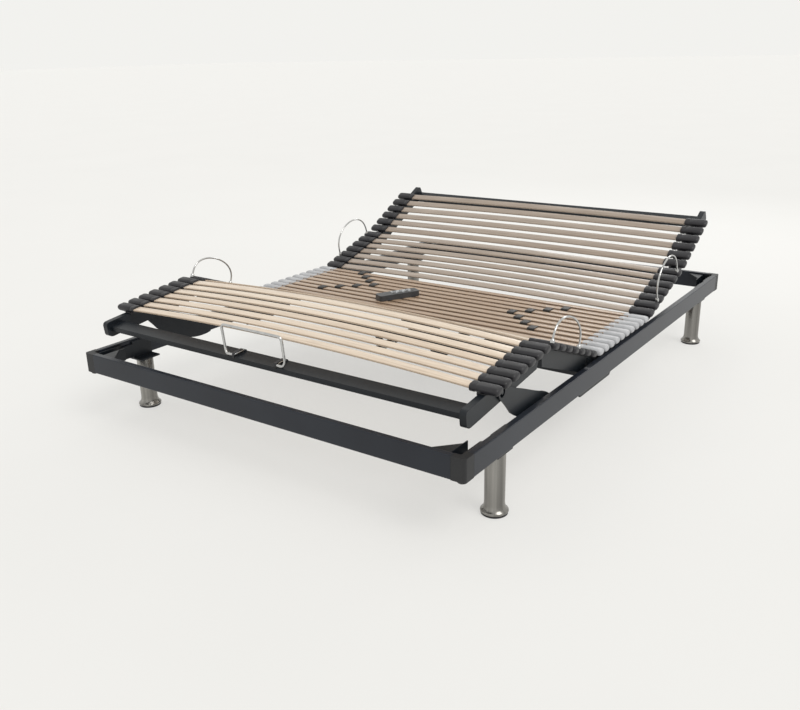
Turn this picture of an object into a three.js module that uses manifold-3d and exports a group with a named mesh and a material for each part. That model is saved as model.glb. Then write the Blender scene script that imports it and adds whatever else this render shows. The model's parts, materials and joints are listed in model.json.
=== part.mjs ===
// Adjustable bed base: a steel frame on four legs that carries five slatted sections.
// Millimetres, +Z up, +Y towards the head end, +X to the right seen from the foot end.
// The origin is on the floor under the middle of the frame.
import * as THREE from 'three';
import { mergeVertices } from 'three/addons/utils/BufferGeometryUtils.js';
import Module from 'manifold-3d';

const wasm = await Module();
wasm.setup();

// ---- driving dimensions ----
const FRAME_WIDTH = 1400;
const FRAME_LENGTH = 2000;
const FRAME_TOP = 240;
const RAIL_HEIGHT = 62;
const RAIL_THICK = 20;
const TUBE_WALL = 2;
const RAIL_ROUND = 3;
const CORNER_LEG = 40;
const CORNER_DROP = 7;
const GAP = 0.3;

const LEG_RADIUS = 27;
const LEG_WALL = 2;
const LEG_INSET_X = 32;
const LEG_INSET_Y = 200;
const FOOT_RADIUS = 38;
const FOOT_FLARE = 12;
const BRACKET_THICK = 5;
const BRACKET_LENGTH = 76;
const GUSSET_THICK = 4;
const GUSSET_TOP = 234;
const GUSSET_LEG_X = 97;
const GUSSET_LEG_Y = 106;

const CAP_PLANE = 266;
const PIVOT_DROP = 8;
const PIVOT_Z = CAP_PLANE - PIVOT_DROP;
const BACK_PIVOT_Y = 192;
const THIGH_PIVOT_Y = -242;
const BACK_LENGTH = 335;
const HEAD_LENGTH = 366;
const THIGH_LENGTH = 338;
const FOOT_LENGTH = 389;
const BACK_ANGLE = 17;
const HEAD_ANGLE = 10.6;
const THIGH_ANGLE = 20.9;
const FOOT_ANGLE = 27.5;

const SIDE_IN = 648;
const SIDE_OUT = 667;
const SIDE_MID = (SIDE_IN + SIDE_OUT) / 2;
const SIDE_TOP = -4;
const SIDE_BOTTOM = -54;
const SIDE_WALL = 2.5;
const SIDE_END_BLOCK = 34;
const TIP_RADIUS = 20;
const EAR_RADIUS = 8;
const PIN_RADIUS = 4;
const HINGE_GAP = 3;
const BAR_DEPTH = 50;
const BAR_HEIGHT = 16;
const FOOT_BAR_TOP = -19;
const HEAD_BAR_TOP = -34;
const MITRE = 25.5;

const CAP_IN = 624;
const CAP_OUT = 702;
const CAP_HEIGHT = 20;
const CAP_WIDTH = 35;
const SLAT_END = 636;
const SLAT_THICK = 6;
const SLAT_WIDTH = 30;
const FOOT_CROWN = 20;
const THIGH_CROWN = 18;
const BACK_CROWN = 10;
const HEAD_CROWN = 7;
const SEAT_SLAT_WIDTH = 28;
const SEAT_SLAT_THICK = 6.5;
const SEAT_SLAT_SPLIT = 3;
const FIRST_CAP = 28;
const SEAT_COUNT = 10;
const BACK_COUNT = 7;
const HEAD_COUNT = 6;
const THIGH_COUNT = 7;
const FOOT_COUNT = 7;

const CRANK_RADIUS = 108;
const PUSH_Z = 154;
const CRANK_THICK = 8;
const CRANK_PIN = 5;
const HEAD_MOTOR_X = 90;
const FOOT_MOTOR_X = -90;
const HEAD_MOTOR_REAR = -159;
const FOOT_MOTOR_REAR = 84;
const MOTOR_TUBE = 13.5;
const MOTOR_LENGTH = 256;
const BACK_CRANK_LEAN = 5.5;
const THIGH_CRANK_LEAN = 3.4;
const BEAM_Y = [-185, 110];
const BEAM_TOP = 196;
const BEAM_HEIGHT = 28;
const BEAM_WIDTH = 26;

const LEVER_PIVOT = [-560, 196];
const LEVER_REACH = 225;
const LEVER_THICK = 5;
const LEVER_X = 668;
const LEVER_DROP = 29;
const LEVER_EYE = 19;

const HOOP_X = 690;
const HOOP_ROD = 3;
const BACK_HOOP_HEIGHT = 100;
const THIGH_HOOP_HEIGHT = 76;
const STOP_X = -25;
const STOP_WIDTH = 226;
const STOP_HEIGHT = 92;
const STOP_ROD = 4;

const SLIDER_LENGTH = 26;
const SLIDER_COUNT = 7;
const SLIDER_SETS = {
  left: { firstRow: 3, innerX: 330, outerX: 480 },
  right: { firstRow: 2, innerX: 290, outerX: 430 },
};

const REMOTE_LENGTH = 160;
const REMOTE_WIDTH = 46;
const REMOTE_HEIGHT = 20;
const REMOTE_AT = [-150, -60];
const REMOTE_TURN = 62;
const BUTTON_RADIUS = 4.6;
const BUTTON_PROUD = 1.6;
const WELL_DEPTH = 5;

// ---- materials ----
const finish = (color, roughness, metalness) =>
  new THREE.MeshStandardMaterial({ color, roughness, metalness });
const frameSteel = finish(0x3c3d43, 0.45, 0.2);
const sectionSteel = finish(0x2f363d, 0.5, 0.2);
const cornerPlastic = finish(0x34353a, 0.6, 0.0);
const satinNickel = finish(0xa8a49e, 0.32, 1.0);
const chromeRod = finish(0xb8b8b8, 0.15, 1.0);
const birch = finish(0xd9c4a8, 0.5, 0.0);
const capRubber = finish(0x3a393d, 0.75, 0.0);
const seatRubber = finish(0xc4c6ca, 0.55, 0.0);
const sliderPlastic = finish(0x33302e, 0.6, 0.0);
const motorPlastic = finish(0x26282b, 0.55, 0.0);
const remotePlastic = finish(0x4a4b4e, 0.45, 0.0);
const buttonPlastic = finish(0x8b8d90, 0.5, 0.0);

const toRad = THREE.MathUtils.degToRad;
const sides = { left: -1, right: 1 };
const ends = { foot: -1, head: 1 };

// ---- solid helpers ----
function asSolid(geometry) {
  const clean = geometry.index ? geometry.toNonIndexed() : geometry.clone();
  clean.deleteAttribute('normal');
  clean.deleteAttribute('uv');
  const merged = mergeVertices(clean, 1e-4);
  const solid = new wasm.Mesh({
    numProp: 3,
    vertProperties: new Float32Array(merged.attributes.position.array),
    triVerts: new Uint32Array(merged.index.array),
  });
  solid.merge();
  return new wasm.Manifold(solid);
}

function asGeometry(solid) {
  const mesh = solid.getMesh();
  const geometry = new THREE.BufferGeometry();
  geometry.setAttribute('position', new THREE.BufferAttribute(mesh.vertProperties, 3));
  geometry.setIndex(new THREE.BufferAttribute(mesh.triVerts, 1));
  return geometry;
}

function joined(geometries) {
  const solids = geometries.map(asSolid);
  return asGeometry(solids.reduce((sum, next) => sum.add(next)));
}

function cut(geometry, cutters) {
  const solids = cutters.map(asSolid);
  return asGeometry(solids.reduce((rest, next) => rest.subtract(next), asSolid(geometry)));
}

function mirroredX(geometry) {
  const copy = geometry.index ? geometry.toNonIndexed() : geometry.clone();
  copy.scale(-1, 1, 1);
  const position = copy.attributes.position;
  const corner = new THREE.Vector3();
  for (let i = 0; i < position.count; i += 3) {
    corner.fromBufferAttribute(position, i + 1);
    const other = new THREE.Vector3().fromBufferAttribute(position, i + 2);
    position.setXYZ(i + 1, other.x, other.y, other.z);
    position.setXYZ(i + 2, corner.x, corner.y, corner.z);
  }
  return copy;
}

const bothSides = (geometry) => [geometry, mirroredX(geometry)];

// ---- shape helpers ----
function box(x, y, z) {
  const geometry = new THREE.BoxGeometry(x[1] - x[0], y[1] - y[0], z[1] - z[0]);
  return geometry.translate((x[0] + x[1]) / 2, (y[0] + y[1]) / 2, (z[0] + z[1]) / 2);
}

function outline(points) {
  return new THREE.Shape(points.map(([a, b]) => new THREE.Vector2(a, b)));
}

// A shape drawn in Y and Z, as thick as the X range.
function plateAcrossX(shape, x, curveSegments = 6) {
  const geometry = new THREE.ExtrudeGeometry(shape, {
    depth: x[1] - x[0], bevelEnabled: false, curveSegments,
  });
  const turn = new THREE.Matrix4().makeBasis(
    new THREE.Vector3(0, 1, 0), new THREE.Vector3(0, 0, 1), new THREE.Vector3(1, 0, 0));
  return geometry.applyMatrix4(turn).translate(x[0], 0, 0);
}

// A shape drawn in X and Z, as long as the Y range.
function barAlongY(shape, y, curveSegments = 6) {
  const geometry = new THREE.ExtrudeGeometry(shape, {
    depth: y[1] - y[0], bevelEnabled: false, curveSegments,
  });
  return geometry.rotateX(Math.PI / 2).translate(0, y[1], 0);
}

// A shape drawn in X and Y, as tall as the Z range.
function plateUp(shape, z, curveSegments = 6) {
  const geometry = new THREE.ExtrudeGeometry(shape, {
    depth: z[1] - z[0], bevelEnabled: false, curveSegments,
  });
  return geometry.translate(0, 0, z[0]);
}

function rodAcrossX(radius, x, y, z, segments = 16) {
  const geometry = new THREE.CylinderGeometry(radius, radius, x[1] - x[0], segments);
  return geometry.rotateZ(Math.PI / 2).translate((x[0] + x[1]) / 2, y, z);
}

function rodAlongY(radius, x, y, z, segments = 20) {
  const geometry = new THREE.CylinderGeometry(radius, radius, y[1] - y[0], segments);
  return geometry.translate(x, (y[0] + y[1]) / 2, z);
}

function roundedBox(width, height, radius) {
  const shape = new THREE.Shape();
  const a = width / 2 - radius;
  const b = height / 2 - radius;
  shape.absarc(a, -b, radius, -Math.PI / 2, 0);
  shape.absarc(a, b, radius, 0, Math.PI / 2);
  shape.absarc(-a, b, radius, Math.PI / 2, Math.PI);
  shape.absarc(-a, -b, radius, Math.PI, Math.PI * 1.5);
  return shape;
}

function hollowSection(width, height, radius, wall) {
  const shape = roundedBox(width, height, radius);
  const inner = roundedBox(width - 2 * wall, height - 2 * wall, Math.max(radius - wall, 0.5));
  shape.holes.push(new THREE.Path(inner.getPoints(2)));
  return shape;
}

function wire(points, radius, steps) {
  const path = new THREE.CatmullRomCurve3(points, false, 'centripetal');
  const ring = new THREE.Shape();
  ring.absarc(0, 0, radius, 0, Math.PI * 2);
  return new THREE.ExtrudeGeometry(ring, {
    steps, bevelEnabled: false, extrudePath: path, curveSegments: 3,
  });
}

const base = new THREE.Group();

function add(parent, name, geometry, material) {
  const clean = geometry.index ? geometry.toNonIndexed() : geometry;
  const mesh = new THREE.Mesh(clean, material);
  mesh.name = name;
  parent.add(mesh);
  return mesh;
}

// ---- outer frame ----
const railMidZ = FRAME_TOP - RAIL_HEIGHT / 2;

function sideRail(side) {
  const half = FRAME_LENGTH / 2 - CORNER_LEG - GAP;
  const section = hollowSection(RAIL_THICK, RAIL_HEIGHT, RAIL_ROUND, TUBE_WALL);
  const x = side * (FRAME_WIDTH - RAIL_THICK) / 2;
  return barAlongY(section, [-half, half], 2).translate(x, 0, railMidZ);
}

function endRail(end) {
  const half = FRAME_WIDTH / 2 - CORNER_LEG - GAP;
  const section = hollowSection(RAIL_THICK, RAIL_HEIGHT, RAIL_ROUND, TUBE_WALL);
  const y = end * (FRAME_LENGTH - RAIL_THICK) / 2;
  return plateAcrossX(section, [-half, half], 2).translate(0, y, railMidZ);
}

// An L-shaped moulded corner whose lower outer edge is drawn in to a rounded nose.
function cornerCap(side, end) {
  const round = 9;
  const x = FRAME_WIDTH / 2;
  const y = FRAME_LENGTH / 2;
  const shape = new THREE.Shape();
  shape.moveTo(x - CORNER_LEG, y);
  shape.lineTo(x - CORNER_LEG, y - RAIL_THICK);
  shape.lineTo(x - RAIL_THICK, y - RAIL_THICK);
  shape.lineTo(x - RAIL_THICK, y - CORNER_LEG);
  shape.lineTo(x, y - CORNER_LEG);
  shape.lineTo(x, y - round);
  shape.absarc(x - round, y - round, round, 0, Math.PI / 2);
  const bottom = FRAME_TOP - RAIL_HEIGHT;
  const upper = plateUp(shape, [bottom, FRAME_TOP], 4);
  const nose = new THREE.CylinderGeometry(18, 12, CORNER_DROP + 1, 16);
  nose.rotateX(Math.PI / 2);
  nose.translate(x - 18.5, y - 18.5, bottom - CORNER_DROP / 2 + 0.5);
  return placedCorner(joined([upper, nose]), side, end);
}

// Moves a part made for the right head corner to any corner.
function placedCorner(geometry, side, end) {
  if (side > 0 && end > 0) return geometry;
  if (side < 0 && end < 0) return geometry.clone().rotateZ(Math.PI);
  if (side < 0) return mirroredX(geometry);
  return mirroredX(geometry.clone().rotateZ(Math.PI));
}

// A pressed corner plate with a channel in which a section's rail end lies when flat.
function cornerPlate(side, end) {
  const x = FRAME_WIDTH / 2 - RAIL_THICK - GAP;
  const y = FRAME_LENGTH / 2 - RAIL_THICK - GAP;
  const top = GUSSET_TOP;
  const plate = plateUp(outline([
    [x - GUSSET_LEG_X, y], [x, y], [x, y - GUSSET_LEG_Y],
  ]), [top - GUSSET_THICK, top]);
  const channel = [SIDE_IN - 4, SIDE_OUT + 4];
  const slot = box(channel, [y - 140, y - 2], [top - 20, top + 20]);
  const reach = y - GUSSET_LEG_Y;
  const floorZ = PIVOT_Z + SIDE_BOTTOM - 8;
  const tray = [
    box([channel[0] - 3, channel[1] + 3], [reach + 20, y], [floorZ - 3, floorZ]),
    box([channel[0] - 3, channel[0]], [reach + 20, y], [floorZ - 3, top - 1]),
    box([channel[1], channel[1] + 3], [reach + 20, y], [floorZ - 3, top - 1]),
    box([channel[0] - 3, channel[1] + 3], [y - 2, y], [floorZ - 3, top - 1]),
  ];
  const bracket = legBracket();
  const tie = box([x - 6, x], [FRAME_LENGTH / 2 - LEG_INSET_Y, reach + 30], [184, 226]);
  return placedCorner(joined([cut(plate, [slot]), ...tray, bracket, tie]), side, end);
}

function legBracket() {
  const x = FRAME_WIDTH / 2;
  const y = FRAME_LENGTH / 2 - LEG_INSET_Y;
  const half = BRACKET_LENGTH / 2;
  const bottom = FRAME_TOP - RAIL_HEIGHT - GAP;
  const inner = x - RAIL_THICK - GAP;
  const upright = box([inner - 6, inner], [y - half, y + half], [bottom - BRACKET_THICK, 234]);
  const flange = box([x - 64, x - 3], [y - half, y + half], [bottom - BRACKET_THICK, bottom]);
  return joined([upright, flange]);
}

// A turned tube leg with a flared foot, open at the top.
function leg(side, end) {
  const top = FRAME_TOP - RAIL_HEIGHT - BRACKET_THICK - 2 * GAP;
  const profile = [
    [0, 0], [FOOT_RADIUS - 2, 0], [FOOT_RADIUS, 2], [FOOT_RADIUS, 6], [FOOT_RADIUS - 5, 9],
    [LEG_RADIUS + 2, FOOT_FLARE + 4], [LEG_RADIUS, FOOT_FLARE + 14], [LEG_RADIUS, top],
    [LEG_RADIUS - LEG_WALL, top], [LEG_RADIUS - LEG_WALL, 8], [0, 8],
  ];
  const points = profile.map(([r, z]) => new THREE.Vector2(r, z));
  const geometry = new THREE.LatheGeometry(points, 24);
  geometry.rotateX(Math.PI / 2);
  return geometry.translate(
    side * (FRAME_WIDTH / 2 - LEG_INSET_X), end * (FRAME_LENGTH / 2 - LEG_INSET_Y), 0);
}

for (const [sideName, side] of Object.entries(sides)) {
  add(base, `side_rail_${sideName}`, sideRail(side), frameSteel);
}
for (const [endName, end] of Object.entries(ends)) {
  add(base, `end_rail_${endName}`, endRail(end), frameSteel);
  for (const [sideName, side] of Object.entries(sides)) {
    const place = `${endName}_${sideName}`;
    add(base, `corner_cap_${place}`, cornerCap(side, end), cornerPlastic);
    add(base, `corner_plate_${place}`, cornerPlate(side, end), sectionSteel);
    add(base, `leg_${place}`, leg(side, end), satinNickel);
  }
}

// ---- side rails of the moving sections ----
// Each section is drawn with its pivot at the origin and runs along dir (+1 head, -1 foot).
function sectionRail(dir, length, startCut, endCut, roundTip) {
  const shape = new THREE.Shape();
  const start = HINGE_GAP;
  const end = length - (roundTip ? 0 : HINGE_GAP);
  shape.moveTo(dir * start, SIDE_TOP);
  if (roundTip) {
    const mid = end - TIP_RADIUS;
    const turn = dir > 0 ? 1 : -1;
    const from = Math.PI / 2;
    const a = TIP_RADIUS * 0.7;
    shape.lineTo(dir * (end - a), SIDE_TOP);
    shape.quadraticCurveTo(dir * end, SIDE_TOP, dir * end, SIDE_TOP - a);
    shape.lineTo(dir * end, SIDE_BOTTOM + a);
    shape.absellipse(dir * mid, SIDE_BOTTOM + a, TIP_RADIUS, a,
      dir > 0 ? 0 : Math.PI, from + turn * Math.PI, dir > 0, 0);
  } else {
    shape.lineTo(dir * end, SIDE_TOP);
    shape.lineTo(dir * (end - endCut), SIDE_BOTTOM);
  }
  shape.lineTo(dir * (start + startCut), SIDE_BOTTOM);
  const body = plateAcrossX(shape, [SIDE_IN, SIDE_OUT], 6);
  const hollowEnd = length - SIDE_END_BLOCK - endCut;
  const hollow = box([SIDE_IN + SIDE_WALL, SIDE_OUT - SIDE_WALL],
    dir > 0 ? [SIDE_END_BLOCK + startCut, hollowEnd] : [-hollowEnd, -SIDE_END_BLOCK - startCut],
    [SIDE_BOTTOM - 1, SIDE_TOP - SIDE_WALL]);
  return cut(body, [hollow]);
}

const halfOf = {
  inner: [SIDE_IN, SIDE_MID - GAP],
  outer: [SIDE_MID + GAP, SIDE_OUT],
};

// The lapped half of a hinge: an ear round the pivot, with or without the pin.
function hingeEar(half, y, dir, hasPin) {
  const x = halfOf[half];
  const ear = rodAcrossX(EAR_RADIUS, x, y, 0, 20);
  const reachY = [y, y + dir * 20].sort((p, q) => p - q);
  const web = box(x, reachY, [-EAR_RADIUS, SIDE_TOP - 0.5]);
  if (!hasPin) return cut(joined([ear, web]), [rodAcrossX(PIN_RADIUS + 0.6, x, y, 0)]);
  return joined([ear, web, rodAcrossX(PIN_RADIUS, [SIDE_IN, SIDE_OUT + 1], y, 0)]);
}

function earClearance(half, y) {
  const [low, high] = halfOf[half];
  return rodAcrossX(EAR_RADIUS + 1, [low - 1, high + 1], y, 0, 20);
}

// One side of a section: rail, its ears, and room for its neighbours' ears.
function sectionSide(dir, length, options) {
  const { startCut = 0, endCut = 0, roundTip = false, earAtEnd = false } = options;
  const rail = sectionRail(dir, length, startCut, endCut, roundTip);
  const cutters = [earClearance('inner', 0)];
  const ears = [hingeEar('outer', 0, dir, false)];
  if (earAtEnd) {
    cutters.push(earClearance('outer', dir * length));
    ears.push(hingeEar('inner', dir * length, -dir, true));
  }
  const holes = [rodAcrossX(PIN_RADIUS + 0.6, [SIDE_MID, SIDE_OUT + 2], 0, 0)];
  return cut(joined([cut(rail, cutters), ...ears]), holes);
}

// A cross channel, open underneath, between a section's two rails.
function crossChannel(y, z) {
  const x = [-SIDE_IN - 1, SIDE_IN + 1];
  const body = box(x, y, z);
  const hollow = box([x[0] + 20, x[1] - 20], [y[0] + SIDE_WALL, y[1] - SIDE_WALL],
    [z[0] - 1, z[1] - SIDE_WALL]);
  return cut(body, [hollow]);
}

// A crank arm under a section's hinge, slotted for the push rod's pin.
function crank(x, dir, lean) {
  const tip = 15;
  const thick = [x - CRANK_THICK / 2, x + CRANK_THICK / 2];
  const web = plateAcrossX(outline([
    [-dir * 10, -CRANK_RADIUS], [dir * 6, -34], [dir * 46, -30], [dir * 10, -CRANK_RADIUS],
  ]), thick);
  const round = rodAcrossX(tip, thick, 0, -CRANK_RADIUS, 20);
  const slot = box([x - CRANK_THICK, x + CRANK_THICK],
    [-CRANK_PIN - 1.2, CRANK_PIN + 1.2], [-CRANK_RADIUS - 11, -CRANK_RADIUS + 11]);
  return cut(joined([web, round]), [slot]).rotateX(toRad(-dir * lean));
}

// ---- sections ----
const seat = new THREE.Group();
seat.position.set(0, 0, PIVOT_Z);
const back = new THREE.Group();
back.position.set(0, BACK_PIVOT_Y, PIVOT_Z);
back.rotation.x = toRad(BACK_ANGLE);
const head = new THREE.Group();
head.position.set(0, BACK_LENGTH, 0);
head.rotation.x = toRad(HEAD_ANGLE);
back.add(head);
const thigh = new THREE.Group();
thigh.position.set(0, THIGH_PIVOT_Y, PIVOT_Z);
thigh.rotation.x = -toRad(THIGH_ANGLE);
const foot = new THREE.Group();
foot.position.set(0, -THIGH_LENGTH, 0);
foot.rotation.x = toRad(FOOT_ANGLE);
thigh.add(foot);
base.add(seat, back, thigh);

// The fixed inner frame: seat rails, the plates that bolt them to the side rails, two beams.
function seatFrame() {
  const y0 = THIGH_PIVOT_Y;
  const y1 = BACK_PIVOT_Y;
  const rail = cut(
    box([SIDE_IN, SIDE_OUT], [y0 + HINGE_GAP, y1 - HINGE_GAP], [SIDE_BOTTOM, SIDE_TOP]),
    [earClearance('outer', y0), earClearance('outer', y1),
      box([SIDE_IN + SIDE_WALL, SIDE_OUT - SIDE_WALL], [y0 + SIDE_END_BLOCK, y1 - SIDE_END_BLOCK],
        [SIDE_BOTTOM - 1, SIDE_TOP - SIDE_WALL])]);
  const inner = FRAME_WIDTH / 2 - RAIL_THICK - GAP;
  const plate = plateAcrossX(outline([
    [-330, -72], [-310, -108], [-90, -108], [-66, -86], [170, -86], [180, -72], [180, -30],
    [-330, -30],
  ]), [inner - 6, inner]);
  const spacers = [y0 + 14, -40, y1 - 16].map((y) =>
    box([SIDE_OUT - 1, inner - 5], [y - 10, y + 10], [-50, -32]));
  const beams = BEAM_Y.map((y) => {
    const top = BEAM_TOP - PIVOT_Z;
    const bar = box([-inner + 1, inner - 1], [y - BEAM_WIDTH / 2, y + BEAM_WIDTH / 2],
      [top - BEAM_HEIGHT, top]);
    const hollow = box([-inner + 20, inner - 20],
      [y - BEAM_WIDTH / 2 + SIDE_WALL, y + BEAM_WIDTH / 2 - SIDE_WALL],
      [top - BEAM_HEIGHT - 1, top - SIDE_WALL]);
    return cut(bar, [hollow]);
  });
  const right = joined([rail, plate, ...spacers,
    hingeEar('inner', y0, 1, true), hingeEar('inner', y1, -1, true)]);
  return joined([...bothSides(right), ...beams]);
}

function backFrame() {
  const side = sectionSide(1, BACK_LENGTH, { earAtEnd: true });
  const channel = crossChannel([18, 52], [SIDE_BOTTOM + 4, SIDE_BOTTOM + 28]);
  const arm = crank(HEAD_MOTOR_X, 1, BACK_CRANK_LEAN + BACK_ANGLE);
  return joined([...bothSides(side), channel, arm]);
}

function headFrame() {
  const side = sectionSide(1, HEAD_LENGTH, { roundTip: true });
  const bar = crossChannel([HEAD_LENGTH - BAR_DEPTH - 4, HEAD_LENGTH - 4],
    [HEAD_BAR_TOP - BAR_HEIGHT, HEAD_BAR_TOP]);
  return joined([...bothSides(side), bar]);
}

function thighFrame() {
  const side = sectionSide(-1, THIGH_LENGTH, { endCut: MITRE, earAtEnd: true });
  const channel = crossChannel([-52, -18], [SIDE_BOTTOM + 4, SIDE_BOTTOM + 28]);
  const arm = crank(FOOT_MOTOR_X, -1, THIGH_ANGLE - THIGH_CRANK_LEAN);
  return joined([...bothSides(side), channel, arm]);
}

function footFrame() {
  const side = sectionSide(-1, FOOT_LENGTH, { startCut: MITRE, roundTip: true });
  const pin = rodAcrossX(5, [SIDE_OUT - 1, LEVER_X + LEVER_THICK], -LEVER_REACH, -LEVER_DROP, 14);
  const far = FOOT_LENGTH - 13;
  const bar = crossChannel([-far, -far + BAR_DEPTH], [FOOT_BAR_TOP - BAR_HEIGHT, FOOT_BAR_TOP]);
  return joined([...bothSides(joined([side, pin])), bar]);
}

add(seat, 'seat_frame', seatFrame(), sectionSteel);
add(back, 'back_frame', backFrame(), sectionSteel);
add(head, 'head_frame', headFrame(), sectionSteel);
add(thigh, 'thigh_frame', thighFrame(), sectionSteel);
add(foot, 'foot_frame', footFrame(), sectionSteel);

// ---- slats and their end caps ----
function endCap(y) {
  const cap = plateAcrossX(roundedBox(CAP_WIDTH, CAP_HEIGHT, 7), [CAP_IN, CAP_OUT], 1);
  return cap.translate(0, y, PIVOT_DROP);
}

// A bowed slat: a band between two shallow curves, as wide as the Y range.
function slat(y, width, crown, bottom, thick) {
  const steps = crown > 0 ? 6 : 1;
  const upper = [];
  const lower = [];
  for (let i = 0; i <= steps; i += 1) {
    const x = -SLAT_END + (2 * SLAT_END * i) / steps;
    const rise = crown * (1 - (x / SLAT_END) ** 2);
    upper.push([x, bottom + thick + rise]);
    lower.push([x, bottom + rise]);
  }
  return barAlongY(outline([...lower, ...upper.reverse()]), [y - width / 2, y + width / 2]);
}

// One section's slats with their caps and the strips that hold the caps on the side rails.
function slatDeck(positions, slatsAt) {
  const low = Math.min(...positions) - CAP_WIDTH / 2 + 6;
  const high = Math.max(...positions) + CAP_WIDTH / 2 - 6;
  const bottom = PIVOT_DROP - CAP_HEIGHT / 2;
  const strip = box([SIDE_IN - 4, SIDE_OUT + 8], [low, high], [SIDE_TOP + GAP, bottom + 2]);
  const caps = positions.flatMap((y) => bothSides(endCap(y)));
  const slats = positions.flatMap(slatsAt);
  return joined([...bothSides(strip), ...caps, ...slats]);
}

const bowedSlat = (crown) => (y) =>
  [slat(y, SLAT_WIDTH, crown, PIVOT_DROP - SLAT_THICK / 2, SLAT_THICK)];

const seatLayers = (y) => {
  const lift = SEAT_SLAT_SPLIT / 2;
  return [
    slat(y, SEAT_SLAT_WIDTH, 0, PIVOT_DROP + lift, SEAT_SLAT_THICK),
    slat(y, SEAT_SLAT_WIDTH, 0, PIVOT_DROP - lift - SEAT_SLAT_THICK, SEAT_SLAT_THICK),
  ];
};

function spread(count, first, last) {
  return Array.from({ length: count }, (_, i) => first + ((last - first) * i) / (count - 1));
}

const seatRows = spread(SEAT_COUNT, THIGH_PIVOT_Y + FIRST_CAP, BACK_PIVOT_Y - FIRST_CAP);
const backRows = spread(BACK_COUNT, 30, BACK_LENGTH - 29);
const headRows = spread(HEAD_COUNT, 28, HEAD_LENGTH - 98);
const thighRows = spread(THIGH_COUNT, 30, THIGH_LENGTH - 26).map((u) => -u);
const footRows = spread(FOOT_COUNT, 26, 284).map((u) => -u);

add(seat, 'seat_slats', slatDeck(seatRows, seatLayers), seatRubber);
add(back, 'back_slats', slatDeck(backRows, bowedSlat(BACK_CROWN)), birch);
add(head, 'head_slats', slatDeck(headRows, bowedSlat(HEAD_CROWN)), birch);
add(thigh, 'thigh_slats', slatDeck(thighRows, bowedSlat(THIGH_CROWN)), birch);
add(foot, 'foot_slats', slatDeck(footRows, bowedSlat(FOOT_CROWN)), birch);

// ---- firmness sliders: sleeves that slide along the doubled seat slats ----
function slider(x, y) {
  const sleeve = roundedBox(SEAT_SLAT_WIDTH + 8, 2 * SEAT_SLAT_THICK + SEAT_SLAT_SPLIT + 8, 3);
  const inner = roundedBox(SEAT_SLAT_WIDTH + 1.2, 2 * SEAT_SLAT_THICK + SEAT_SLAT_SPLIT + 1.2, 0.6);
  sleeve.holes.push(new THREE.Path(inner.getPoints(1)));
  const geometry = plateAcrossX(sleeve, [x - SLIDER_LENGTH / 2, x + SLIDER_LENGTH / 2], 2);
  return geometry.translate(0, y, PIVOT_DROP);
}

// The sliders of a set stand in a V whose point is nearest the middle of the bed.
function sliderX(index, innerX, outerX) {
  const middle = (SLIDER_COUNT - 1) / 2;
  const away = Math.abs(index - middle) / middle;
  return innerX + (outerX - innerX) * away;
}

for (const [sideName, side] of Object.entries(sides)) {
  const { firstRow, innerX, outerX } = SLIDER_SETS[sideName];
  for (let index = 0; index < SLIDER_COUNT; index += 1) {
    const geometry = slider(side * sliderX(index, innerX, outerX), seatRows[firstRow + index]);
    add(seat, `slider_${sideName}_${index + 1}`, geometry, sliderPlastic);
  }
}

// ---- calf levers: broad plates between the frame and the foot section ----
// Where the foot section's stud is, as seen from the lever's pivot.
function leverEye() {
  const slope = toRad(FOOT_ANGLE - THIGH_ANGLE);
  const rise = toRad(THIGH_ANGLE);
  const kneeY = THIGH_PIVOT_Y - THIGH_LENGTH * Math.cos(rise);
  const kneeZ = PIVOT_Z + THIGH_LENGTH * Math.sin(rise);
  const y = kneeY - LEVER_REACH * Math.cos(slope) + LEVER_DROP * Math.sin(slope);
  const z = kneeZ - LEVER_REACH * Math.sin(slope) - LEVER_DROP * Math.cos(slope);
  return [y - LEVER_PIVOT[0], z - LEVER_PIVOT[1]];
}

function calfLever() {
  const [eyeY, eyeZ] = leverEye();
  const [y, z] = LEVER_PIVOT;
  const thick = [LEVER_X, LEVER_X + LEVER_THICK];
  const shape = new THREE.Shape();
  shape.moveTo(60, -15);
  shape.lineTo(60, 28);
  shape.quadraticCurveTo(30, 50, 0, 58);
  shape.quadraticCurveTo(-33, 70, -65, 84);
  shape.quadraticCurveTo(-98, 98, -130, 110);
  shape.lineTo(eyeY + 4, eyeZ + LEVER_EYE - 1);
  shape.lineTo(eyeY - 10, eyeZ - LEVER_EYE + 4);
  shape.quadraticCurveTo(-200, 90, -173, 57);
  shape.quadraticCurveTo(-145, 36, -106, 19);
  shape.quadraticCurveTo(-82, 4, -55, -6);
  shape.quadraticCurveTo(-28, -17, 0, -19);
  shape.quadraticCurveTo(40, -22, 60, -15);
  const plate = plateAcrossX(shape, thick, 5);
  const eye = rodAcrossX(LEVER_EYE, thick, eyeY, eyeZ, 28);
  const hole = rodAcrossX(13, [LEVER_X - 1, LEVER_X + LEVER_THICK + 1], eyeY, eyeZ, 20);
  const stud = rodAcrossX(7, [LEVER_X + 1, FRAME_WIDTH / 2 - RAIL_THICK - GAP], 0, 0, 16);
  return joined([cut(joined([plate, eye]), [hole]), stud]).translate(0, y, z);
}

const leverShape = calfLever();
add(base, 'calf_lever_right', leverShape, sectionSteel);
add(base, 'calf_lever_left', mirroredX(leverShape), sectionSteel);

// ---- actuators ----
const pinY = (pivotY, lean) => pivotY - (PIVOT_Z - PUSH_Z) * Math.tan(toRad(lean));

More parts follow.
